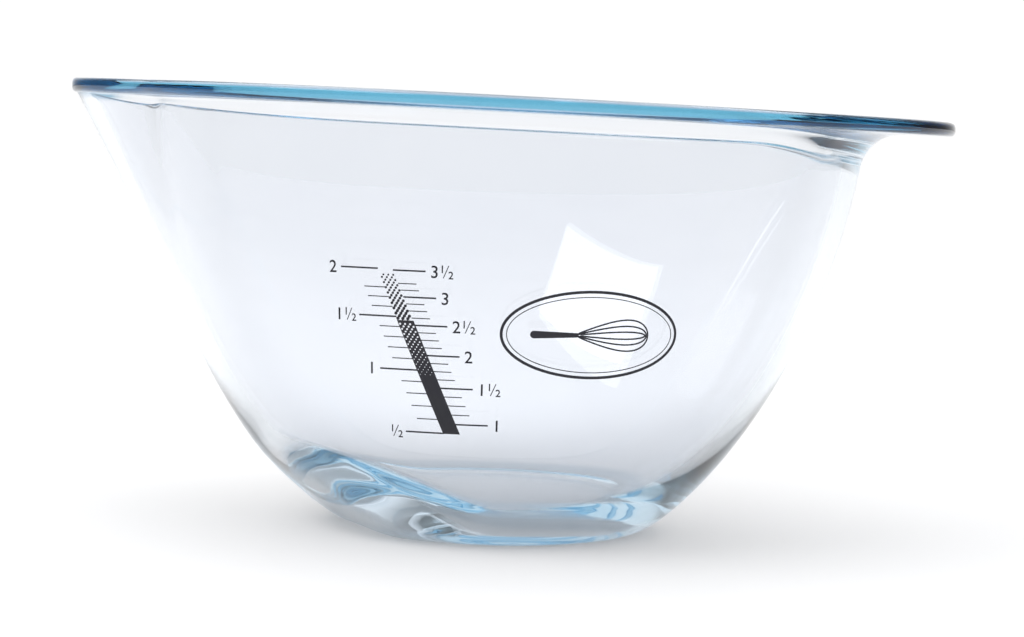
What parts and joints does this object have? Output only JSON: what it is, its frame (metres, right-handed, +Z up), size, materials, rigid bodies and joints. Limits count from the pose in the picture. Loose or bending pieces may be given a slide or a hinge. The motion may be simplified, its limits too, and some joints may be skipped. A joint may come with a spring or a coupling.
{
  "type": "mixing bowl",
  "caption": "Clear pressed glass mixing bowl with a pouring spout, a handle lip, a slanted rim flange, a tilted resting face and a printed capacity scale.",
  "frame": {"origin": "centre of the round foot, on the surface the bowl stands on", "axes": "+Z up, +X towards the handle lip, -X towards the pouring spout, -Y the side with the printed scale"},
  "size_m": [0.3015, 0.267, 0.1492],
  "materials": {
    "glass": "polished, fire-smoothed",
    "enamel": "satin printed enamel"
  },
  "bodies": {
    "root": {"emblem_frame": "enamel", "emblem_inner_line": "enamel", "glass_bowl": "glass", "litre_numeral_0_5_over": "enamel", "litre_numeral_0_5_slash": "enamel", "litre_numeral_0_5_under": "enamel", "litre_numeral_1_0": "enamel", "litre_numeral_1_5": "enamel", "litre_numeral_1_5_over": "enamel", "litre_numeral_1_5_slash": "enamel", "litre_numeral_1_5_under": "enamel", "litre_numeral_2_0": "enamel", "pint_numeral_1_0": "enamel", "pint_numeral_1_5": "enamel", "pint_numeral_1_5_over": "enamel", "pint_numeral_1_5_slash": "enamel", "pint_numeral_1_5_under": "enamel", "pint_numeral_2_0": "enamel", "pint_numeral_2_5": "enamel", "pint_numeral_2_5_over": "enamel", "pint_numeral_2_5_slash": "enamel", "pint_numeral_2_5_under": "enamel", "pint_numeral_3_0": "enamel", "pint_numeral_3_5": "enamel", "pint_numeral_3_5_over": "enamel", "pint_numeral_3_5_slash": "enamel", "pint_numeral_3_5_under": "enamel", "scale_band": "enamel", "whisk_handle": "enamel", "whisk_inner_loop": "enamel", "whisk_outer_loop": "enamel"}
  },
  "joints": []
}
